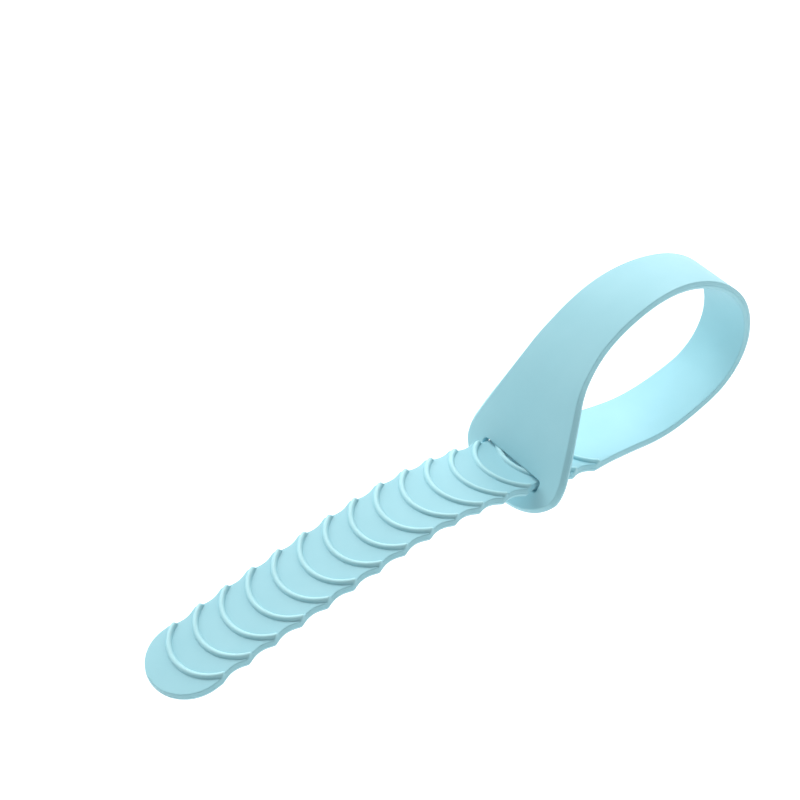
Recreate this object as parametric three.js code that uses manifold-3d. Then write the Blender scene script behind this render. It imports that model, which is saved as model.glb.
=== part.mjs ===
// A moulded silicone strap: a ribbed tongue passes through a slot in its own widened head,
// so the smooth band between them closes into an adjustable loop.
// Millimetres. X runs along the strap from the tongue tip to the loop, Y across its width, Z up.
// Every shape is drawn on the flat strap (s along it, y across it, n out of its ribbed face)
// and then laid on the bent centre line.
import * as THREE from "three";
import Module from "manifold-3d";

const wasm = await Module();
wasm.setup();

// ---- driving dimensions -------------------------------------------------------------------
const THICKNESS = 2.8;
const EDGE_DRAFT = 0.35; // each face is this much narrower than the parting line at mid thickness
const CUT_GAP = 0.3; // clear space between two neighbouring lengths of the strap

const TONGUE_HALF_WIDTH = 14; // to the points of the side teeth
const SCALLOP_DEPTH = 1.3; // how far the side edge dips between two teeth
const TOOTH_LEAD = 1.6; // a side tooth lies this much nearer the tip than the end of its rib
const TIP_LENGTH = 13.5; // length of the rounded tip

const RIB_COUNT = 16;
const RIB_PITCH = 9.9;
const FIRST_RIB = 17.4; // station of the two ends of the rib nearest the tip
const RIB_HALF_SPAN = 12.9;
const RIB_BULGE = 7.9; // how far the middle of a rib lies towards the tip from its ends
const RIB_WIDTH = 1.9;
const RIB_HEIGHT = 1.0;
const CUT_AFTER_RIB = 0.75; // a cut lies between the ends of one rib and the middle of the next

// The bent centre line, from the tip: arcs of a given length and turn (degrees, positive upwards).
const START_HEADING = 13.5;
const BENDS = [
  { length: 40, turn: -3.7 }, // free tongue
  { length: 45, turn: -2.1 },
  { length: 40, turn: -19.4 }, // crest of the tongue
  { length: 43, turn: 0 }, // straight stretch that slides in the slot
  { length: 22, turn: 2.3 }, // bottom of the loop
  { length: 16, turn: 19 },
  { length: 14, turn: 8.8 },
  { length: 26, turn: 71 }, // tight far end of the loop
  { length: 20, turn: 39.2 },
  { length: 72, turn: 93.3 }, // over the top
  { length: 14, turn: 20.9 }, // neck
  { length: 42.2, turn: 0 }, // flat head
];

// Half width of the smooth band, neck and head at stations along the centre line.
const WIDTHS = [
  [164.3, 14],
  [174, 12.6],
  [184, 11.9],
  [200, 11.4],
  [235, 10.2],
  [290, 9.7],
  [318, 11],
  [332, 11.6],
  [345, 13.3],
  [358, 17],
  [368, 20],
  [384, 23.9],
];
const HEAD_ROUND_LENGTH = 20.2; // length of the rounded end of the head
const HEAD_ROUND_POWER = 2.2; // 2 is an ellipse, more is squarer

const SLOT_TO_END = 12.5; // slot middle to the end of the head
const SLOT_SIDE_CLEARANCE = 0.8;
const SLOT_FACE_CLEARANCE = 0.55;

const SLIDE_START = FIRST_RIB + 11 * RIB_PITCH + CUT_AFTER_RIB; // first length that passes the slot
const SLIDE_MIDDLE = SLIDE_START + 3 * RIB_PITCH;
const BAND_START = 172;
const BAND_END = 345;
const BAND_LINKS = 16;
const BAND_END_BEVEL = 0.12; // the two faces of a band length stop this much short of its middle
const NECK_END = 358;

// ---- centre line --------------------------------------------------------------------------
const radians = (degrees) => (degrees * Math.PI) / 180;
const STRAP_LENGTH = BENDS.reduce((sum, bend) => sum + bend.length, 0);

// Position and heading at station s, walking the arcs from the tip.
function centreLine(s) {
  let x = 0;
  let z = 0;
  let heading = radians(START_HEADING);
  let left = s;
  for (const { length, turn } of BENDS) {
    const step = Math.min(left, length);
    const bend = (radians(turn) * step) / length;
    const chord = Math.abs(bend) < 1e-9 ? step : (step * Math.sin(bend / 2)) / (bend / 2);
    x += chord * Math.cos(heading + bend / 2);
    z += chord * Math.sin(heading + bend / 2);
    heading += bend;
    left -= step;
    if (left <= 0) break;
  }
  return { x, z, heading };
}

// The frame stands on the lowest point and is centred along X.
function placement() {
  const box = new THREE.Box3();
  for (let s = 0; s <= STRAP_LENGTH; s += 0.5) {
    const { x, z, heading } = centreLine(s);
    for (const n of [-THICKNESS / 2, THICKNESS / 2])
      box.expandByPoint(new THREE.Vector3(x - n * Math.sin(heading), 0, z + n * Math.cos(heading)));
  }
  return { x: -(box.min.x + box.max.x) / 2, z: -box.min.z };
}
const PLACE = placement();

// A point of the flat strap (s, y, n) laid on the bent centre line.
function bent(s, y, n) {
  const { x, z, heading } = centreLine(s);
  return [
    PLACE.x + x - n * Math.sin(heading),
    y,
    PLACE.z + z + n * Math.cos(heading),
  ];
}

// ---- outline of the flat strap -------------------------------------------------------------
// Smooth monotone curve through the width stations.
function bandHalfWidth(s) {
  const last = WIDTHS.length - 1;
  if (s <= WIDTHS[0][0]) return WIDTHS[0][1];
  if (s >= WIDTHS[last][0]) return WIDTHS[last][1];
  const i = WIDTHS.findIndex((w) => w[0] > s) - 1;
  const slope = (k) =>
    (WIDTHS[k + 1][1] - WIDTHS[k][1]) / (WIDTHS[k + 1][0] - WIDTHS[k][0]);
  const tangent = (k) => {
    if (k === 0 || k === last) return k === 0 ? slope(0) : slope(last - 1);
    const a = slope(k - 1);
    const b = slope(k);
    return a * b <= 0 ? 0 : (2 * a * b) / (a + b);
  };
  const run = WIDTHS[i + 1][0] - WIDTHS[i][0];
  const t = (s - WIDTHS[i][0]) / run;
  const h = t * t * (3 - 2 * t);
  return (
    WIDTHS[i][1] * (1 - h) +
    WIDTHS[i + 1][1] * h +
    run * (tangent(i) * t * (1 - t) ** 2 - tangent(i + 1) * t * t * (1 - t))
  );
}

const ribStation = (i) => FIRST_RIB + i * RIB_PITCH;
const toothStation = (i) => ribStation(i) - TOOTH_LEAD;

// Side edge of the tongue: a shallow hollow from each tooth to the next.
function tongueHalfWidth(s) {
  if (s <= toothStation(0)) return TONGUE_HALF_WIDTH;
  if (s >= toothStation(RIB_COUNT - 1)) return bandHalfWidth(s);
  const t = ((s - toothStation(0)) / RIB_PITCH) % 1;
  return TONGUE_HALF_WIDTH - SCALLOP_DEPTH * 4 * t * (1 - t);
}

// Stations where the tongue edge gets a vertex: each tooth and the hollow after it.
function edgeStations(from, to) {
  const stations = [from];
  for (let i = 0; i < RIB_COUNT; i++)
    for (const t of [0, 0.12, 0.3, 0.5, 0.7, 0.88]) {
      const s = toothStation(i) + t * RIB_PITCH;
      if (s > from + 0.4 && s < to - 0.4) stations.push(s);
    }
  stations.push(to);
  return stations;
}

// One side (y > 0) of a length of the ribbed tongue as [s, y, inset along s].
function tongueSide(from, to) {
  return edgeStations(from, to).map((s) => [s, tongueHalfWidth(s), 0]);
}

// One side of the rounded tip, from its foremost point to the first cut.
function tipSide(to) {
  const side = [];
  const steps = 12;
  for (let k = 0; k < steps; k++) {
    const a = (Math.PI / 2) * (k / steps);
    const s = TIP_LENGTH * (1 - Math.cos(a));
    side.push([s, TONGUE_HALF_WIDTH * Math.sin(a), Math.cos(a)]);
  }
  side.push([TIP_LENGTH, TONGUE_HALF_WIDTH, 0]);
  side.push(...tongueSide(toothStation(0), to));
  return side;
}

// One side of the head from the neck to its foremost point.
function headSide(from) {
  const side = [];
  const round = STRAP_LENGTH - HEAD_ROUND_LENGTH;
  for (let k = 0; k < 7; k++) {
    const s = from + ((round - from) * k) / 7;
    side.push([s, bandHalfWidth(s), 0]);
  }
  const steps = 16;
  for (let k = 0; k <= steps; k++) {
    const a = (Math.PI / 2) * (k / steps);
    const r = Math.sin(a) ** (2 / HEAD_ROUND_POWER);
    const w = Math.max(Math.cos(a), 0) ** (2 / HEAD_ROUND_POWER);
    const s = round + HEAD_ROUND_LENGTH * r;
    side.push([s, bandHalfWidth(s) * (k === steps ? 0 : w), -Math.sin(a)]);
  }
  return side;
}

// ---- solids ---------------------------------------------------------------------------------
function solid(points, faces) {
  return new wasm.Manifold(
    new wasm.Mesh({
      numProp: 3,
      vertProperties: new Float32Array(points.flat()),
      triVerts: new Uint32Array(faces.flat()),
    }),
  );
}

// A closed plate on the flat strap from one side of its outline. A side point is
// [s, y, lean]: lean is how much of the face inset runs along s instead of across the strap.
function plate(side) {
  const mirrored = side
    .filter(([, y]) => y > 1e-6)
    .map(([s, y, lean]) => [s, -y, lean])
    .reverse();
  const ring = [...side, ...mirrored];
  const count = ring.length;
  const inset = ([s, y, lean]) => [
    s + EDGE_DRAFT * lean,
    y - Math.sign(y) * EDGE_DRAFT * Math.sqrt(1 - lean * lean),
  ];
  const faceRing = ring.map(inset);
  const half = THICKNESS / 2;
  const points = [
    ...faceRing.map(([s, y]) => [s, y, -half]),
    ...ring.map(([s, y]) => [s, y, 0]),
    ...faceRing.map(([s, y]) => [s, y, half]),
  ];
  const contour = faceRing.map(([s, y]) => new THREE.Vector2(s, y));
  const clockwise = THREE.ShapeUtils.isClockWise(contour);
  const faces = [];
  const add = (a, b, c) => faces.push(clockwise ? [a, c, b] : [a, b, c]);
  for (let layer = 0; layer < 2; layer++)
    for (let i = 0; i < count; i++) {
      const a = layer * count + i;
      const b = layer * count + ((i + 1) % count);
      add(a, b, b + count);
      add(a, b + count, a + count);
    }
  for (const [a, b, c] of THREE.ShapeUtils.triangulateShape(contour, [])) {
    const up = THREE.ShapeUtils.area([contour[a], contour[b], contour[c]]) > 0;
    const tri = up === !clockwise ? [a, b, c] : [a, c, b];
    add(tri[0] + 2 * count, tri[1] + 2 * count, tri[2] + 2 * count);
    add(tri[0], tri[2], tri[1]);
  }
  return solid(points, faces);
}

// A closed bar through a row of cross-section rings, all with the same number of points.
function loft(rings) {
  const count = rings[0].length;
  const points = rings.flat();
  const faces = [];
  for (let r = 0; r + 1 < rings.length; r++)
    for (let i = 0; i < count; i++) {
      const a = r * count + i;
      const b = r * count + ((i + 1) % count);
      faces.push([a, b, b + count], [a, b + count, a + count]);
    }
  const last = (rings.length - 1) * count;
  for (let i = 1; i + 1 < count; i++) {
    faces.push([0, i + 1, i]);
    faces.push([last, last + i, last + i + 1]);
  }
  return solid(points, faces);
}

// One crescent rib: a rounded bead along an arc whose middle points to the tip.
function rib(index) {
  const radius = (RIB_HALF_SPAN ** 2 + RIB_BULGE ** 2) / (2 * RIB_BULGE);
  const centre = ribStation(index) - RIB_BULGE + radius;
  const reach = Math.asin(RIB_HALF_SPAN / radius);
  const base = THICKNESS / 2 - 0.4;
  const top = THICKNESS / 2 + RIB_HEIGHT;
  const profile = [
    [-0.5, base],
    [0.5, base],
    [0.5, THICKNESS / 2 + 0.25 * RIB_HEIGHT],
    [0.25, top],
    [-0.25, top],
    [-0.5, THICKNESS / 2 + 0.25 * RIB_HEIGHT],
  ];
  const rings = [];
  const steps = 14;
  for (let k = 0; k <= steps; k++) {
    const a = -reach + (2 * reach * k) / steps;
    rings.push(
      profile.map(([across, n]) => {
        const r = radius + across * RIB_WIDTH;
        return [centre - r * Math.cos(a), r * Math.sin(a), n];
      }),
    );
  }
  return loft(rings);
}

// Six-sided section of the smooth band at station s, with the parting line at mid thickness.
// The two faces are moved along s by the bevel.
function bandSection(s, bevel) {
  const w = bandHalfWidth(s);
  const f = w - EDGE_DRAFT;
  const half = THICKNESS / 2;
  const face = s + bevel;
  return [
    [face, -f, -half],
    [face, f, -half],
    [s, w, 0],
    [face, f, half],
    [face, -f, half],
    [s, -w, 0],
  ];
}

function bandLength(from, to, steps) {
  const rings = [];
  for (let k = 0; k <= steps; k++) {
    const bevel = k === 0 ? BAND_END_BEVEL : k === steps ? -BAND_END_BEVEL : 0;
    rings.push(bandSection(from + ((to - from) * k) / steps, bevel));
  }
  return loft(rings);
}

// A length of the ribbed tongue with the ribs whose index runs from first to last.
function ribbedLength(side, first, last) {
  let body = plate(side);
  for (let i = first; i <= last; i++) body = body.add(rib(i));
  return body;
}

// The head is a plate with the slot cut along the direction of the sliding stretch.
function slottedHead() {
  const head = plate(headSide(NECK_END + CUT_GAP / 2));
  const station = STRAP_LENGTH - SLOT_TO_END;
  const crossing = SLIDE_START + 0.5 * (SLIDE_MIDDLE - SLIDE_START);
  const slide = centreLine(crossing).heading;
  const plateHeading = centreLine(station).heading;
  const tilt = slide - plateHeading; // the tongue's direction seen on the flat head
  const width = TONGUE_HALF_WIDTH + SLOT_SIDE_CLEARANCE;
  const below = THICKNESS / 2 + SLOT_FACE_CLEARANCE;
  const above = THICKNESS / 2 + RIB_HEIGHT + SLOT_FACE_CLEARANCE;
  const reach = 12;
  const along = [Math.cos(tilt), Math.sin(tilt)];
  const across = [-Math.sin(tilt), Math.cos(tilt)];
  const corner = (a, n, y) => [
    station + a * along[0] + n * across[0],
    y,
    a * along[1] + n * across[1],
  ];
  const ringAt = (a) => [
    corner(a, -below, -width),
    corner(a, -below, width),
    corner(a, above, width),
    corner(a, above, -width),
  ];
  return head.subtract(loft([ringAt(-reach), ringAt(reach)]));
}

// Lays a flat solid on the bent centre line and makes it a named mesh.
function lay(name, flat, material) {
  const made = flat.getMesh();
  const position = new Float32Array(made.numVert * 3);
  for (let i = 0; i < made.numVert; i++) {
    const at = i * made.numProp;
    const [s, y, n] = made.vertProperties.subarray(at, at + 3);
    position.set(bent(s, y, n), i * 3);
  }
  const geometry = new THREE.BufferGeometry();
  geometry.setAttribute("position", new THREE.BufferAttribute(position, 3));
  geometry.setIndex(new THREE.BufferAttribute(new Uint32Array(made.triVerts), 1));
  geometry.computeVertexNormals();
  const mesh = new THREE.Mesh(geometry, material);
  mesh.name = name;
  return mesh;
}

// ---- the strap ------------------------------------------------------------------------------
const silicone = new THREE.MeshStandardMaterial({ color: 0xa9dfe8, roughness: 0.6 });
silicone.name = "blue_silicone";

const strap = new THREE.Group();
strap.name = "slotted_strap";
const gap = CUT_GAP / 2;
const cutAfter = (i) => ribStation(i) + CUT_AFTER_RIB;
const twoDigits = (n) => String(n).padStart(2, "0");

strap.add(lay("tongue_tip", ribbedLength(tipSide(cutAfter(0) - gap), 0, 0), silicone));
for (let i = 1; i <= 11; i++) {
  const side = tongueSide(cutAfter(i - 1) + gap, cutAfter(i) - gap);
  strap.add(lay(`tongue_link_${twoDigits(i + 1)}`, ribbedLength(side, i, i), silicone));
}
const slotSide = tongueSide(SLIDE_START + gap, SLIDE_MIDDLE - gap);
strap.add(lay("slot_stretch", ribbedLength(slotSide, 12, 14), silicone));
const innerSide = tongueSide(SLIDE_MIDDLE + gap, BAND_START - gap - BAND_END_BEVEL);
strap.add(lay("inner_stretch", ribbedLength(innerSide, 15, 15), silicone));

const linkLength = (BAND_END - BAND_START) / BAND_LINKS;
for (let i = 0; i < BAND_LINKS; i++) {
  const from = BAND_START + i * linkLength + gap;
  const to = BAND_START + (i + 1) * linkLength - gap;
  strap.add(lay(`band_link_${twoDigits(i + 1)}`, bandLength(from, to, 5), silicone));
}
strap.add(lay("neck", bandLength(BAND_END + gap, NECK_END - gap, 5), silicone));
strap.add(lay("slotted_head", slottedHead(), silicone));

export default strap;
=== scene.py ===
"""Looks of the moulded silicone strap: one continuous skin, cut at the middle of each CAD length.

Every point is drawn on the flat strap, in millimetres: s along it from the tongue tip, y across it
and n out of its ribbed face. bend() then lays it on the bent centre line, in metres.
"""

import math

import bpy
import numpy as np
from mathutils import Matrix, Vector
from mathutils.geometry import delaunay_2d_cdt, tessellate_polygon


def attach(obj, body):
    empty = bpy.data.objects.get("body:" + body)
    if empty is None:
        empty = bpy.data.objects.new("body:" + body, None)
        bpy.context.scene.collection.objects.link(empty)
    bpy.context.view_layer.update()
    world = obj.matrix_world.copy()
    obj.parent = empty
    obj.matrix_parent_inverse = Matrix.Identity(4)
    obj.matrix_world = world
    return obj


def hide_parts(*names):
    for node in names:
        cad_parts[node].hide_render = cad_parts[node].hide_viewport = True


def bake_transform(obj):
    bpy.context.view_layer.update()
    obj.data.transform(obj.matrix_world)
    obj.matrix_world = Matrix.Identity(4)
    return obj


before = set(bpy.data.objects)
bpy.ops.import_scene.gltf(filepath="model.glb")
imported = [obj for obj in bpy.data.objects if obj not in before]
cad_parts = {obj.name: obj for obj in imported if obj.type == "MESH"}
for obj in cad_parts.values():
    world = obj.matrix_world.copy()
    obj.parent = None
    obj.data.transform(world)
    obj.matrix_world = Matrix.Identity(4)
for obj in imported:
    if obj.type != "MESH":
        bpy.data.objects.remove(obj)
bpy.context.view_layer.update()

MM = 0.001

# ---- dimensions shared with the CAD part, in millimetres and degrees -------------------------
THICKNESS = 2.8
HALF = THICKNESS / 2
TONGUE_HALF_WIDTH = 14.0
TIP_LENGTH = 13.5
SCALLOP_DEPTH = 1.3
TOOTH_LEAD = 1.6  # a side tooth lies this much nearer the tip than the end of its rib
TOOTH_ROUNDING = 0.5
RIB_COUNT = 16
RIB_PITCH = 9.9
FIRST_RIB = 17.4
RIB_HALF_SPAN = 12.9
RIB_BULGE = 7.9
RIB_HALF_WIDTH = 1.0
RIB_HEIGHT = 1.0
RIB_END_FADE = 0.7
BEAD_POWER = 2.2  # the cross section of a rib: more is squarer
BEAD_FULLNESS = 0.75
CUT_AFTER_RIB = 0.75
START_HEADING = 13.5
BENDS = [
    (40, -3.7),
    (45, -2.1),
    (40, -19.4),
    (43, 0),
    (22, 2.3),
    (16, 19),
    (14, 8.8),
    (26, 71),
    (20, 39.2),
    (72, 93.3),
    (14, 20.9),
    (42.2, 0),
]
BEND_SOFTNESS = 4.0  # a bend starts and stops over this length
WIDTHS = [
    (164.3, 14.0),
    (174, 12.6),
    (184, 11.9),
    (200, 11.4),
    (235, 10.2),
    (290, 9.7),
    (318, 11.0),
    (332, 11.6),
    (345, 13.3),
    (358, 17.0),
    (368, 20.0),
    (384, 23.9),
]
STRAP_LENGTH = sum(length for length, turn in BENDS)
HEAD_ROUND_LENGTH = 20.2
HEAD_FLAT_BEFORE_END = 12.0  # this far before its end the head is straight
HEAD_ROUND_POWER = 2.2
SLIDE_CENTRE = 146.5  # middle of the straight stretch that slides in the slot
TONGUE_LINKS = 12
BAND_START = 172.0
BAND_END = 345.0
BAND_LINKS = 16

# ---- finer detail ----------------------------------------------------------------------------
# The slot hugs the tongue: its side teeth squeeze through and catch behind the head.
SLOT_HALF_WIDTH = 13.6
SLOT_ABOVE = HALF + RIB_HEIGHT  # from the middle of the tongue to the edge of the slot
SLOT_BELOW = HALF + 0.3
SLOT_CORNER = 1.2
SLOT_CORNER_STEPS = 9
# Edge of the strap from its ribbed face to its parting line: inset from the outline, height.
EDGE_PROFILE = [
    (0.62, 1.40),
    (0.47, 1.39),
    (0.34, 1.32),
    (0.26, 1.19),
    (0.22, 1.00),
    (0.11, 0.55),
    (0.04, 0.27),
    (0.05, 0.17),
    (0.19, 0.09),
    (0.20, 0.00),
]
HEAD_FACE_INSET = 0.95  # the outer face of the head is this much narrower than its parting line
HEAD_INSET_START = 338.0
HEAD_INSET_RUN = 34.0  # the inset grows over this length
SLOT_PROFILE = [(0.55, 1.40), (0.32, 1.39), (0.16, 1.32), (0.05, 1.18), (0.0, 0.98), (0.0, 0.0)]
RIB_ROWS = [0, 0.25, 0.45, 0.62, 0.76, 0.87, 0.95, 1.0, 1.12, 1.4]  # parts of the rib's half width
ROWS_PAST_RIB_END = [0.15, 0.35, 0.55, 0.75]
RIB_STEP = 0.55
TIP_STEPS = 43
TONGUE_STEP = 0.33
BAND_STEP = 1.1
HEAD_ROUND_STEPS = 59
FACE_MARGIN = 0.12  # rib rows stop this far inside the edge of the face
# Straight cuts lie across both faces at every outline vertex between these stations.
CROSS_CUTS_START = BAND_START - 6
CROSS_CUTS_END = 354.0
UNDERSIDE_CUT_SKIP = 4  # under the tongue only every fourth outline vertex gets a cut
RIB_ROOT = 0.9  # rings of the edge above this height carry the ends of the ribs
PAST_END = 10.0  # a station this far past either end of the strap lies beyond every face
KNUCKLE_STEPS = 10
KNUCKLE_WIDTH = 0.972  # so that a knuckle stays inside the parting groove
BLEND_REACH = 3.8  # two points this far on each side of a hinge are laid on the bent line; nothing uses them


# ---- centre line -----------------------------------------------------------------------------
class CentreLine:
    """Position and heading along the bent strap, in the frame of the CAD part."""

    def __init__(self, softness):
        step = 0.05
        self.s = np.arange(-20, STRAP_LENGTH + 20 + step, step)
        curvature = np.zeros_like(self.s)
        start = 0.0
        for length, turn in BENDS:
            inside = (self.s >= start) & (self.s < start + length)
            curvature[inside] = math.radians(turn) / length
            start += length
        if softness:
            count = int(round(softness / step))
            window = np.hanning(2 * count + 1)
            curvature = np.convolve(curvature, window / window.sum(), mode="same")
        heading = np.concatenate([[0], np.cumsum((curvature[1:] + curvature[:-1]) / 2) * step])
        heading += math.radians(START_HEADING) - np.interp(0, self.s, heading)
        self.heading = heading
        self.x = self._integral(np.cos(heading), step)
        self.z = self._integral(np.sin(heading), step)

    def _integral(self, values, step):
        total = np.concatenate([[0], np.cumsum((values[1:] + values[:-1]) / 2) * step])
        return total - np.interp(0, self.s, total)

    def at(self, s):
        return (
            np.interp(s, self.s, self.x),
            np.interp(s, self.s, self.z),
            np.interp(s, self.s, self.heading),
        )

    def move(self, dx, dz):
        self.x = self.x + dx
        self.z = self.z + dz

    def rest_on_floor(self):
        """Centres the strap along X and stands it on its lowest point, as the CAD part does."""
        s = np.arange(0, STRAP_LENGTH, 0.5)
        x, z, heading = self.at(s)
        xs = np.concatenate([x - n * np.sin(heading) for n in (-HALF, HALF)])
        zs = np.concatenate([z + n * np.cos(heading) for n in (-HALF, HALF)])
        self.move(-(xs.min() + xs.max()) / 2, -zs.min())


def make_centre_line():
    exact = CentreLine(0)
    exact.rest_on_floor()
    smooth = CentreLine(BEND_SOFTNESS)
    x, z, _ = exact.at(SLIDE_CENTRE)
    xs, zs, _ = smooth.at(SLIDE_CENTRE)
    smooth.move(x - xs, z - zs)
    return smooth


line = make_centre_line()


def bend(flat):
    """Flat points (s, y, n) in millimetres laid on the bent centre line, in metres."""
    s, y, n = flat[:, 0], flat[:, 1], flat[:, 2]
    x, z, heading = line.at(s)
    return np.stack([x - n * np.sin(heading), y, z + n * np.cos(heading)], axis=1) * MM


# ---- the flat strap --------------------------------------------------------------------------
def smooth_step(t):
    t = np.clip(t, 0, 1)
    return t * t * (3 - 2 * t)


def rib_station(i):
    return FIRST_RIB + i * RIB_PITCH


RIB_RADIUS = (RIB_HALF_SPAN**2 + RIB_BULGE**2) / (2 * RIB_BULGE)
RIB_REACH = math.asin(RIB_HALF_SPAN / RIB_RADIUS)


def rib_height(s, y):
    """Height of the ribs above the face: round beads along arcs that bulge towards the tip."""
    height = np.zeros_like(s)
    for i in range(RIB_COUNT):
        along = rib_station(i) - RIB_BULGE + RIB_RADIUS - s
        across = np.abs(np.hypot(along, y) - RIB_RADIUS) / RIB_HALF_WIDTH
        past_end = (np.arctan2(np.abs(y), along) - RIB_REACH) * RIB_RADIUS / RIB_END_FADE
        bead = np.clip(1 - across**BEAD_POWER, 0, 1) ** BEAD_FULLNESS
        height = np.maximum(height, RIB_HEIGHT * bead * (1 - smooth_step(past_end)))
    return height


def band_half_width(s):
    """Smooth monotone curve through the width stations."""
    xs = np.array([w[0] for w in WIDTHS])
    ys = np.array([w[1] for w in WIDTHS])
    slope = np.diff(ys) / np.diff(xs)
    tangent = np.concatenate([[slope[0]], np.zeros(len(xs) - 2), [slope[-1]]])
    for k in range(1, len(xs) - 1):
        a, b = slope[k - 1], slope[k]
        tangent[k] = 0 if a * b <= 0 else 2 * a * b / (a + b)
    s = np.clip(s, xs[0], xs[-1])
    i = np.clip(np.searchsorted(xs, s, side="right") - 1, 0, len(xs) - 2)
    run = xs[i + 1] - xs[i]
    t = (s - xs[i]) / run
    h = t * t * (3 - 2 * t)
    lead = tangent[i] * t * (1 - t) ** 2 - tangent[i + 1] * t * t * (1 - t)
    return ys[i] * (1 - h) + ys[i + 1] * h + run * lead


def half_width(s):
    """Half width of the strap at stations s between the rounded tip and the rounded head end."""
    first = rib_station(0) - TOOTH_LEAD
    last = rib_station(RIB_COUNT - 1) - TOOTH_LEAD
    t = np.clip((s - first) / RIB_PITCH, 0, RIB_COUNT - 1) % 1
    hollow = 4 * t * (1 - t)
    hollow = hollow**2 * (1 + TOOTH_ROUNDING) / (hollow + TOOTH_ROUNDING)
    return np.where(s < last, TONGUE_HALF_WIDTH - SCALLOP_DEPTH * hollow, band_half_width(s))


def tongue_hinges():
    return [rib_station(i) + CUT_AFTER_RIB for i in range(TONGUE_LINKS)]


def band_hinges():
    link = (BAND_END - BAND_START) / BAND_LINKS
    return [BAND_START + k * link for k in range(BAND_LINKS)]


def seam_stations():
    """The skin is cut where its two sides always move together: in the middle of each length."""
    tongue = tongue_hinges()
    band = band_hinges()
    link = band[1] - band[0]
    seams = [(a + b) / 2 for a, b in zip(tongue[:-1], tongue[1:])]
    seams.append(tongue[-1] + RIB_PITCH / 2)
    seams.append(band[0] - link / 2)
    seams += [h + link / 2 for h in band]
    seams.append(BAND_END)
    return seams


def stations_between(marks, steps):
    """Even steps from each mark to the next; steps holds the step length after each mark."""
    made = []
    for a, b, step in zip(marks[:-1], marks[1:], steps):
        count = max(1, int(round((b - a) / step)))
        made += list(a + (b - a) * np.arange(count) / count)
    return made + [marks[-1]]


def outline():
    """One side of the flat outline (y >= 0) from the tip to the end of the head."""
    angles = np.linspace(0, math.pi / 2, TIP_STEPS + 1)[:-1]
    tip = np.stack(
        [TIP_LENGTH * (1 - np.cos(angles)), TONGUE_HALF_WIDTH * np.sin(angles)], axis=1
    )
    head_start = STRAP_LENGTH - HEAD_ROUND_LENGTH
    marks = [TIP_LENGTH] + seam_stations() + [head_start]
    steps = [TONGUE_STEP if m < CROSS_CUTS_START else BAND_STEP for m in marks[:-1]]
    middle_s = np.array(stations_between(marks, steps))
    middle = np.stack([middle_s, half_width(middle_s)], axis=1)
    angles = np.linspace(0, math.pi / 2, HEAD_ROUND_STEPS + 1)[1:]
    power = 2 / HEAD_ROUND_POWER
    round_s = head_start + HEAD_ROUND_LENGTH * np.sin(angles) ** power
    round_y = band_half_width(round_s) * np.clip(np.cos(angles), 0, 1) ** power
    head = np.stack([round_s, round_y], axis=1)
    return np.concatenate([tip, middle, head])


def closed_loop(side):
    """Both sides as one loop that runs up the y > 0 side and back down the other."""
    mirrored = side[-2:0:-1] * np.array([1, -1])
    return np.concatenate([side, mirrored])


def outward_normals(loop):
    tangent = np.roll(loop, -1, axis=0) - np.roll(loop, 1, axis=0)
    tangent /= np.linalg.norm(tangent, axis=1)[:, None]
    return np.stack([-tangent[:, 1], tangent[:, 0]], axis=1)


def both_faces(profile):
    """A profile from the ribbed face to mid thickness, continued to the other face."""
    return profile + [(inset, -n) for inset, n in profile[-2::-1]]


# ---- building the skin -----------------------------------------------------------------------
class Skin:
    """Vertices on the flat strap and faces, each face with the station that it belongs to."""

    def __init__(self):
        self.points = []
        self.faces = []
        self.stations = []

    def add_points(self, points):
        start = len(self.points)
        self.points += [tuple(p) for p in points]
        return np.arange(start, start + len(points))

    def add_faces(self, faces, stations):
        self.faces += [tuple(int(v) for v in f) for f in faces]
        self.stations += [float(s) for s in stations]

    def add_wall(self, rings, stations):
        """Quads between neighbouring closed rings."""
        count = len(rings[0])
        for upper, lower in zip(rings[:-1], rings[1:]):
            for i in range(count):
                k = (i + 1) % count
                self.add_faces([(upper[i], upper[k], lower[k], lower[i])], [stations[i]])


def slot_loop():
    """Rounded slot on the flat head at mid thickness, its normals away from it and its lean.

    The slot lies where the straight head crosses the straight stretch of the tongue.
    """
    tongue_x, tongue_z, tongue_heading = line.at(SLIDE_CENTRE)
    head_station = STRAP_LENGTH - HEAD_FLAT_BEFORE_END
    head_x, head_z, head_heading = line.at(head_station)
    run = np.array(
        [
            [math.cos(tongue_heading), -math.cos(head_heading)],
            [math.sin(tongue_heading), -math.sin(head_heading)],
        ]
    )
    along = np.linalg.solve(run, np.array([head_x - tongue_x, head_z - tongue_z]))[1]
    crossing = float(head_station + along)
    tilt = float(tongue_heading - head_heading)
    low, high = sorted([-SLOT_BELOW / math.sin(-tilt), SLOT_ABOVE / math.sin(-tilt)])
    loop = []
    for quarter, (cs, cy) in enumerate([(1, 1), (-1, 1), (-1, -1), (1, -1)]):
        edge = high if cs > 0 else low
        centre = (crossing + edge - cs * SLOT_CORNER, cy * (SLOT_HALF_WIDTH - SLOT_CORNER))
        for angle in np.linspace(0, math.pi / 2, SLOT_CORNER_STEPS):
            turn = angle + quarter * math.pi / 2
            station = centre[0] + SLOT_CORNER * math.cos(turn)
            loop.append((station, centre[1] + SLOT_CORNER * math.sin(turn)))
    loop = np.array(loop)
    return loop, -outward_normals(loop), 1 / math.tan(tilt)


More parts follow.
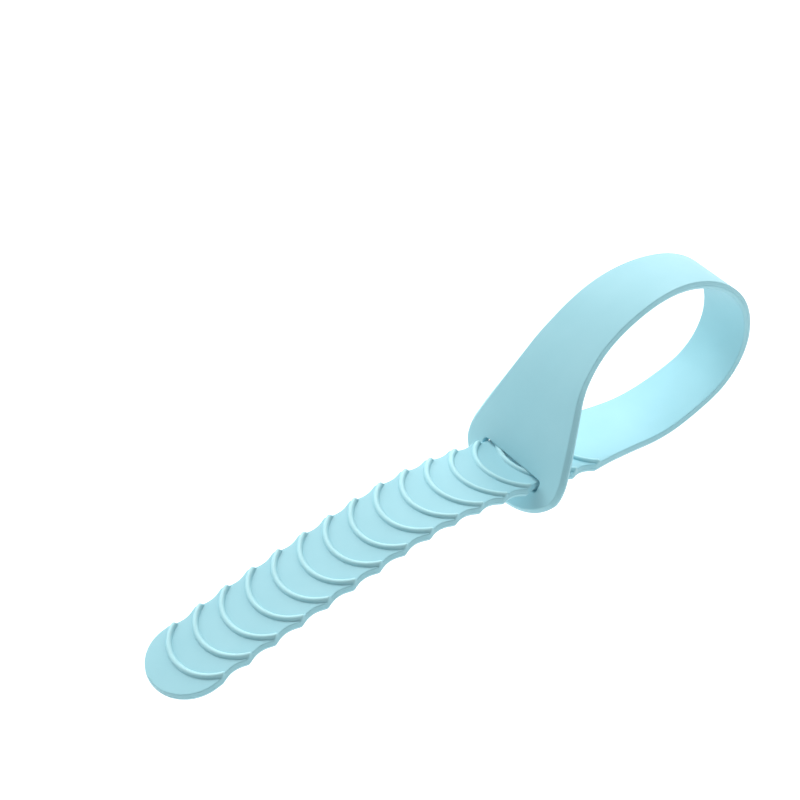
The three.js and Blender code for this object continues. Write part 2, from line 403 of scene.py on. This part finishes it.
def rib_rows(inner_half_width):
    """Rows of points along every rib, and the edges between neighbours on a row."""
    points = []
    edges = []
    past = np.array(ROWS_PAST_RIB_END) / RIB_RADIUS
    count = int(2 * RIB_REACH * RIB_RADIUS / RIB_STEP)
    angles = np.linspace(-RIB_REACH, RIB_REACH, count)
    angles = np.concatenate([-RIB_REACH - past[::-1], angles, RIB_REACH + past])
    offsets = sorted({sign * row for row in RIB_ROWS for sign in (-1, 1)})
    for i in range(RIB_COUNT):
        centre = rib_station(i) - RIB_BULGE + RIB_RADIUS
        for offset in offsets:
            radius = RIB_RADIUS + offset * RIB_HALF_WIDTH
            last = None
            for s, y in zip(centre - radius * np.cos(angles), radius * np.sin(angles)):
                if abs(y) > inner_half_width(s) - FACE_MARGIN:
                    last = None
                    continue
                points.append((s, y))
                if last is not None:
                    edges.append((last, len(points) - 1))
                last = len(points) - 1
    return points, edges


def face_triangles(skin, ring, extra_points, extra_edges, hole, height, n, station_of):
    """Fills one face of the strap between the ring of its edge and the ring of the slot.

    The extra edges join vertices of the ring, or neighbours in the rows of extra points.
    """
    ring_points = [skin.points[v][:2] for v in ring]
    count = len(ring)
    given = [Vector(p) for p in ring_points]
    edges = [(i, (i + 1) % count) for i in range(count)]
    ids = list(ring)
    hole_points = np.array([skin.points[v][:2] for v in hole])
    start = len(given)
    given += [Vector(p) for p in hole_points]
    edges += [(start + i, start + (i + 1) % len(hole)) for i in range(len(hole))]
    ids += list(hole)
    start = len(given)
    given += [Vector(p) for p in extra_points]
    edges += extra_edges["ring"]
    edges += [(start + a, start + b) for a, b in extra_edges["rows"]]
    verts, _, tris, origin, _, _ = delaunay_2d_cdt(given, edges, [], 0, 1e-5, True)
    flat = np.array([tuple(v) for v in verts])
    levels = n + height(flat[:, 0], flat[:, 1]) if height else np.full(len(flat), n)
    index = np.zeros(len(flat), int)
    for k, sources in enumerate(origin):
        known = [ids[o] for o in sources if o < len(ids)]
        index[k] = known[0] if known else -1
    fresh = np.where(index < 0)[0]
    index[fresh] = skin.add_points(np.column_stack([flat[fresh], levels[fresh]]))
    tris = np.array([t for t in tris if len(t) == 3])
    centres = flat[tris].mean(axis=1)
    side = np.array(ring_points)[: count // 2 + 1]
    edge = np.interp(centres[:, 0], side[:, 0], side[:, 1], left=0, right=0)
    keep = (np.abs(centres[:, 1]) < edge) & ~inside_loop(centres, hole_points)
    tris = index[tris[keep]]
    if n < 0:
        tris = tris[:, ::-1]
    skin.add_faces(tris, station_of(centres[keep, 0]))


def inside_loop(points, loop):
    """True for the points inside a closed loop, by counting crossings."""
    inside = np.zeros(len(points), bool)
    for (ax, ay), (bx, by) in zip(loop, np.roll(loop, -1, axis=0)):
        crosses = (ay > points[:, 1]) != (by > points[:, 1])
        with np.errstate(divide="ignore", invalid="ignore"):
            at = ax + (points[:, 1] - ay) * (bx - ax) / (by - ay)
        inside ^= crosses & (points[:, 0] < at)
    return inside


def add_edge(skin, loop):
    """The wall round the whole outline; returns its rings of vertices."""
    normals = outward_normals(loop)
    rings = []
    on_head = smooth_step((loop[:, 0] - HEAD_INSET_START) / HEAD_INSET_RUN)[:, None]
    for inset, n in both_faces(EDGE_PROFILE):
        lean_in = max(0.0, -n / HALF) * HEAD_FACE_INSET * on_head
        at = loop - (inset + lean_in) * normals
        level = np.full(len(at), float(n))
        if n > RIB_ROOT:
            level += rib_height(at[:, 0], at[:, 1])
        rings.append(skin.add_points(np.column_stack([at, level])))
    next_s = np.roll(loop[:, 0], -1)
    skin.add_wall(rings, (loop[:, 0] + next_s) / 2)
    return rings


def add_slot(skin):
    """The wall round the slot; returns its rings of vertices."""
    hole, hole_normals, lean = slot_loop()
    slot_rings = []
    for inset, n in both_faces(SLOT_PROFILE):
        at = hole + inset * hole_normals
        at[:, 0] += n * lean
        slot_rings.append(skin.add_points(np.column_stack([at, np.full(len(at), float(n))])))
    skin.add_wall(slot_rings, np.full(len(hole), STRAP_LENGTH))
    return slot_rings


def build_skin():
    skin = Skin()
    side = outline()
    loop = closed_loop(side)
    rings = add_edge(skin, loop)
    slot_rings = add_slot(skin)

    last = len(side) - 1
    seams = seam_stations()
    is_seam = [any(abs(s - seam) < 1e-6 for seam in seams) for s in side[:, 0]]
    band_cuts = []
    seam_cuts = []
    underside_cuts = []
    for i in range(1, last):
        if CROSS_CUTS_START <= side[i, 0] <= CROSS_CUTS_END:
            band_cuts.append(i)
        elif is_seam[i]:
            seam_cuts.append(i)
        elif side[i, 0] < CROSS_CUTS_START and i % UNDERSIDE_CUT_SKIP == 1:
            underside_cuts.append(i)

    def across(picks):
        return [(i, len(loop) - i) for i in picks]

    def stations_on(ring):
        """Stations of points on a face, so that the straight cuts across it fall on the seams."""
        cuts = [skin.points[ring[i]][0] for i in range(last) if is_seam[i]]
        places = [-PAST_END] + cuts + [STRAP_LENGTH + PAST_END]
        stations = [-PAST_END] + seams + [STRAP_LENGTH + PAST_END]
        return lambda s: np.interp(s, places, stations)

    inner = np.array([skin.points[v] for v in rings[0][: len(side)]])
    points, rows = rib_rows(lambda s: float(np.interp(s, inner[:, 0], inner[:, 1])))
    face_triangles(
        skin,
        rings[0],
        points,
        {"ring": across(band_cuts + seam_cuts), "rows": rows},
        slot_rings[0],
        rib_height,
        HALF,
        stations_on(rings[0]),
    )
    face_triangles(
        skin,
        rings[-1],
        [],
        {"ring": across(band_cuts + seam_cuts + underside_cuts), "rows": []},
        slot_rings[-1],
        None,
        -HALF,
        stations_on(rings[-1]),
    )
    return skin


def vertex_normals(points, faces):
    """Smooth normals of the whole skin, each face weighted by its corner angle."""
    total = np.zeros_like(points)
    for size in (3, 4):
        picked = np.array([f for f in faces if len(f) == size])
        if not len(picked):
            continue
        corners = points[picked]
        across = np.cross(corners[:, 2] - corners[:, 0], corners[:, -1] - corners[:, 1])
        if size == 3:
            across = np.cross(corners[:, 1] - corners[:, 0], corners[:, 2] - corners[:, 0])
        across /= np.maximum(np.linalg.norm(across, axis=1)[:, None], 1e-20)
        for k in range(size):
            a = corners[:, (k + 1) % size] - corners[:, k]
            b = corners[:, k - 1] - corners[:, k]
            cosine = (a * b).sum(1) / (np.linalg.norm(a, axis=1) * np.linalg.norm(b, axis=1))
            angle = np.arccos(np.clip(cosine, -1, 1))
            np.add.at(total, picked[:, k], across * angle[:, None])
    return total / np.maximum(np.linalg.norm(total, axis=1)[:, None], 1e-20)


def open_loops(faces):
    """Closed loops of vertices round the open ends of a set of faces, wound to close them."""
    edges = set()
    for f in faces:
        for a, b in zip(f, f[1:] + f[:1]):
            edges.add((a, b))
    follow = {b: a for a, b in edges if (b, a) not in edges}
    loops = []
    while follow:
        start = next(iter(follow))
        loop = [start]
        step = follow.pop(start)
        while step != start:
            loop.append(step)
            step = follow.pop(step)
        loops.append(loop)
    return loops


def flat_cap(points, loop):
    """Triangles that close an open end across the strap."""
    corners = [Vector((points[v][1], points[v][2], 0)) for v in loop]
    area = sum(a.x * b.y - b.x * a.y for a, b in zip(corners, corners[1:] + corners[:1]))
    made = []
    for tri in tessellate_polygon([corners]):
        a, b, c = (corners[k] for k in tri)
        turn = (b - a).cross(c - a).z
        ordered = tri if turn * area > 0 else tri[::-1]
        made.append(tuple(loop[k] for k in ordered))
    return made


def round_cap(points, loop, direction):
    """Half-round end about the middle of the strap's thickness, so that a turn opens no gap."""
    left_mid = min(loop, key=lambda v: (abs(points[v][2]), points[v][1]))
    right_mid = min(loop, key=lambda v: (abs(points[v][2]), -points[v][1]))
    start = loop.index(left_mid)
    ring = loop[start:] + loop[:start]
    end = ring.index(right_mid)
    first = ring[: end + 1]
    second = [ring[0]] + ring[: end - 1 : -1]
    top, bottom = (first, second) if points[first[1]][2] > 0 else (second, first)
    station = points[left_mid][0]
    rows = [top]
    fresh = []
    for k in range(1, KNUCKLE_STEPS):
        turn = math.pi * k / KNUCKLE_STEPS
        row = [top[0]]
        for v in top[1:-1]:
            s, y, n = points[v]
            s = station + direction * n * math.sin(turn)
            narrowing = min(1.0, float(band_half_width(s) / band_half_width(station)))
            fresh.append((s, y * narrowing * KNUCKLE_WIDTH, n * math.cos(turn)))
            row.append(len(points) + len(fresh) - 1)
        rows.append(row + [top[-1]])
    rows.append(bottom)
    faces = []
    for above, below in zip(rows[:-1], rows[1:]):
        for k in range(len(above) - 1):
            corners = (above[k], above[k + 1], below[k + 1], below[k])
            face = tuple(dict.fromkeys(corners))
            faces.append(face if direction > 0 else face[::-1])
    return fresh, faces


# ---- material --------------------------------------------------------------------------------
def silicone():
    """Matt moulded silicone: soft colour clouding, rib crests painted paler as a painted highlight
    and partly as rubbed wear, and a fine moulded grain.
    """
    material = bpy.data.materials.new("blue_silicone")
    material.use_nodes = True
    nodes, links = material.node_tree.nodes, material.node_tree.links
    shader = nodes["Principled BSDF"]
    shader.inputs["Sheen Weight"].default_value = 0.12
    shader.inputs["Sheen Roughness"].default_value = 0.5
    shader.inputs["Specular IOR Level"].default_value = 0.35
    place = nodes.new("ShaderNodeAttribute")
    place.attribute_name = "flat_place"

    cloud = nodes.new("ShaderNodeTexNoise")
    cloud.inputs["Scale"].default_value = 0.06
    cloud.inputs["Detail"].default_value = 3
    links.new(place.outputs["Vector"], cloud.inputs["Vector"])
    tones = nodes.new("ShaderNodeValToRGB")
    tones.color_ramp.elements[0].position = 0.3
    tones.color_ramp.elements[0].color = (0.285, 0.573, 0.648, 1)
    tones.color_ramp.elements[1].position = 0.7
    tones.color_ramp.elements[1].color = (0.305, 0.594, 0.668, 1)
    links.new(cloud.outputs["Fac"], tones.inputs["Fac"])

    # The tops of the ribs are mixed towards a paler colour: a painted highlight, and partly rubbed
    # wear.
    crest_highlight_and_wear = nodes.new("ShaderNodeAttribute")
    crest_highlight_and_wear.attribute_name = "rib_crest_highlight_and_wear"
    crest_highlight_and_wear_mix = nodes.new("ShaderNodeMix")
    crest_highlight_and_wear_mix.data_type = "RGBA"
    crest_highlight_and_wear_mix.inputs["B"].default_value = (0.40, 0.69, 0.74, 1)
    links.new(crest_highlight_and_wear.outputs["Fac"], crest_highlight_and_wear_mix.inputs["Factor"])
    links.new(tones.outputs["Color"], crest_highlight_and_wear_mix.inputs["A"])
    links.new(crest_highlight_and_wear_mix.outputs["Result"], shader.inputs["Base Color"])

    gloss = nodes.new("ShaderNodeTexNoise")
    gloss.inputs["Scale"].default_value = 0.5
    gloss.inputs["Detail"].default_value = 4
    links.new(place.outputs["Vector"], gloss.inputs["Vector"])
    roughness = nodes.new("ShaderNodeMapRange")
    roughness.inputs["To Min"].default_value = 0.50
    roughness.inputs["To Max"].default_value = 0.62
    links.new(gloss.outputs["Fac"], roughness.inputs["Value"])
    links.new(roughness.outputs["Result"], shader.inputs["Roughness"])

    grain = nodes.new("ShaderNodeTexNoise")
    grain.inputs["Scale"].default_value = 3.2
    grain.inputs["Detail"].default_value = 3
    links.new(place.outputs["Vector"], grain.inputs["Vector"])
    bump = nodes.new("ShaderNodeBump")
    bump.inputs["Strength"].default_value = 0.12
    bump.inputs["Distance"].default_value = 0.04 * MM
    links.new(grain.outputs["Fac"], bump.inputs["Height"])
    links.new(bump.outputs["Normal"], shader.inputs["Normal"])
    return material


# ---- pieces ----------------------------------------------------------------------------------
def piece_plan():
    """Name, stations from and to, bodies, hinge and CAD nodes of every piece of the skin."""
    seams = seam_stations()
    edges = [-PAST_END] + seams + [STRAP_LENGTH + PAST_END]
    plan = []
    for k, hinge in enumerate(tongue_hinges(), start=1):
        low = f"tongue_{k:02d}"
        high = f"tongue_{k + 1:02d}" if k < TONGUE_LINKS else "slide_stretch"
        node = "tongue_tip" if k == 1 else f"tongue_link_{k:02d}"
        plan.append((f"tongue_skin_{k:02d}", [low, high], hinge, [node]))
    plan.append(("slide_skin", ["slide_stretch"], None, ["slot_stretch", "inner_stretch"]))
    for k, hinge in enumerate(band_hinges(), start=1):
        low = f"band_{k - 1:02d}" if k > 1 else "slide_stretch"
        high = f"band_{k:02d}"
        plan.append((f"band_skin_{k:02d}", [low, high], hinge, [f"band_link_{k:02d}"]))
    plan.append(("band_end_skin", [f"band_{BAND_LINKS}"], None, []))
    plan.append(("head_skin", ["head"], None, ["neck", "slotted_head"]))
    return [(a, b) + rest for a, b, rest in zip(edges[:-1], edges[1:], plan)]


def make_piece(name, flat, faces, smooth_normals, caps, material):
    """A mesh object from flat points; its cut ends are flat-shaded and its skin is smooth."""
    used = sorted({v for f in faces + caps for v in f})
    local = {v: k for k, v in enumerate(used)}
    flat_points = np.array([flat[v] for v in used])
    mesh = bpy.data.meshes.new(name)
    local_faces = [[local[v] for v in f] for f in faces + caps]
    mesh.from_pydata(bend(flat_points).tolist(), [], local_faces)
    smooth = [True] * len(faces) + [False] * len(caps)
    mesh.polygons.foreach_set("use_smooth", smooth)
    place = mesh.attributes.new("flat_place", "FLOAT_VECTOR", "POINT")
    place.data.foreach_set("vector", flat_points.astype(np.float32).ravel())
    # Mask of the rib tops for the paler crest colour: a painted highlight, and partly rubbed wear.
    crest_highlight_and_wear = mesh.attributes.new("rib_crest_highlight_and_wear", "FLOAT", "POINT")
    crest_highlight_and_wear_mask = np.clip((flat_points[:, 2] - HALF) / RIB_HEIGHT, 0, 1) ** 2
    crest_highlight_and_wear.data.foreach_set("value", crest_highlight_and_wear_mask.astype(np.float32))
    mesh.update()
    loop_normals = np.zeros((len(mesh.loops), 3))
    start = 0
    for f in faces:
        for v in f:
            if v < len(smooth_normals):
                loop_normals[start] = smooth_normals[v]
            start += 1
    mesh.normals_split_custom_set(loop_normals.tolist())
    piece = bpy.data.objects.new(name, mesh)
    bpy.context.scene.collection.objects.link(piece)
    mesh.materials.append(material)
    return piece


def make_pieces():
    skin = build_skin()
    points = np.array(skin.points)
    smooth_normals = vertex_normals(bend(points), skin.faces)
    face_stations = np.array(skin.stations)
    material = silicone()
    for low, high, name, bodies, hinge, nodes in piece_plan():
        picked = np.where((face_stations > low) & (face_stations <= high))[0]
        faces = [skin.faces[k] for k in picked]
        flat = list(skin.points)
        flat_ends = []
        round_ends = []
        for loop in open_loops(faces):
            if abs(flat[loop[0]][0] - BAND_END) < 1:
                direction = 1 if name == "band_end_skin" else -1
                fresh, made = round_cap(flat, loop, direction)
                flat += fresh
                round_ends += made
            else:
                flat_ends += flat_cap(flat, loop)
        smooth_faces = faces + round_ends
        piece = make_piece(name, flat, smooth_faces, smooth_normals, flat_ends, material)
        if len(bodies) == 1:
            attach(piece, bodies[0])
        else:
            ends = bend(np.array([[hinge - BLEND_REACH, 0, 0], [hinge + BLEND_REACH, 0, 0]]))
            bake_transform(piece)
        if nodes:
            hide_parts(*nodes)


# ---- room ------------------------------------------------------------------------------------
# The floor lies low enough that the loop and the curled tongue clear it in every pose.
FLOOR_LEVEL = -0.12


def make_floor():
    """A pale round floor whose rim curves up into a low wall, as a studio backdrop does."""
    mesh = bpy.data.meshes.new("floor")
    profile = [(3.0, 0.0), (3.4, 0.08), (3.7, 0.3), (3.9, 0.7), (4.0, 1.3)]
    level = FLOOR_LEVEL
    around = 64
    points = []
    for radius, height in profile:
        for k in range(around):
            turn = 2 * math.pi * k / around
            points.append((radius * math.cos(turn), radius * math.sin(turn), height + level))
    faces = [tuple(range(around))]
    for row in range(len(profile) - 1):
        for k in range(around):
            low, high = row * around, (row + 1) * around
            following = (k + 1) % around
            faces.append((low + k, low + following, high + following, high + k))
    mesh.from_pydata(points, [], faces)
    floor = bpy.data.objects.new("floor", mesh)
    bpy.context.scene.collection.objects.link(floor)
    material = bpy.data.materials.new("white_floor")
    material.use_nodes = True
    nodes, links = material.node_tree.nodes, material.node_tree.links
    shader = nodes["Principled BSDF"]
    shader.inputs["Roughness"].default_value = 0.9
    shader.inputs["Specular IOR Level"].default_value = 0.0
    shader.inputs["Emission Color"].default_value = (1, 1, 1, 1)
    shader.inputs["Emission Strength"].default_value = 0.9
    mottle = nodes.new("ShaderNodeTexNoise")
    mottle.inputs["Scale"].default_value = 3
    ramp = nodes.new("ShaderNodeValToRGB")
    ramp.color_ramp.elements[0].color = (0.34, 0.34, 0.34, 1)
    ramp.color_ramp.elements[1].color = (0.37, 0.37, 0.37, 1)
    links.new(mottle.outputs["Fac"], ramp.inputs["Fac"])
    links.new(ramp.outputs["Color"], shader.inputs["Base Color"])
    mesh.materials.append(material)


def add_area_light(name, azimuth, elevation, power):
    """A round soft box on a sphere round the strap; the azimuth runs from +X towards +Y."""
    distance = 1.3
    data = bpy.data.lights.new(name, "AREA")
    data.shape = "DISK"
    data.size = 0.8
    data.energy = power
    turn, rise = math.radians(azimuth), math.radians(elevation)
    away = Vector(
        (math.cos(rise) * math.cos(turn), math.cos(rise) * math.sin(turn), math.sin(rise))
    )
    light = bpy.data.objects.new(name, data)
    light.location = Vector((0, 0, 0.03)) + distance * away
    light.rotation_mode = "QUATERNION"
    light.rotation_quaternion = (-away).to_track_quat("-Z", "Y")
    bpy.context.scene.collection.objects.link(light)


def light_room():
    world = bpy.data.worlds.new("studio")
    world.use_nodes = True
    background = world.node_tree.nodes["Background"]
    background.inputs["Color"].default_value = (1, 1, 1, 1)
    background.inputs["Strength"].default_value = 0.03
    bpy.context.scene.world = world
    add_area_light("key", 75, 50, 13.5)
    add_area_light("back_left", 120, 30, 9.0)
    add_area_light("right", 30, 30, 9.5)
    add_area_light("front", 285, 30, 4.0)
    bpy.context.scene.view_settings.view_transform = "Standard"


def add_camera():
    data = bpy.data.cameras.new("camera")
    data.sensor_width = 36.0
    data.lens = 108.1
    camera = bpy.data.objects.new("camera", data)
    camera.location = (-0.3530, -0.4215, 0.5337)
    camera.rotation_mode = "QUATERNION"
    camera.rotation_quaternion = Vector((0.4630, 0.5920, -0.6598)).to_track_quat("-Z", "Y")
    bpy.context.scene.collection.objects.link(camera)
    bpy.context.scene.camera = camera


make_pieces()
make_floor()
light_room()
add_camera()
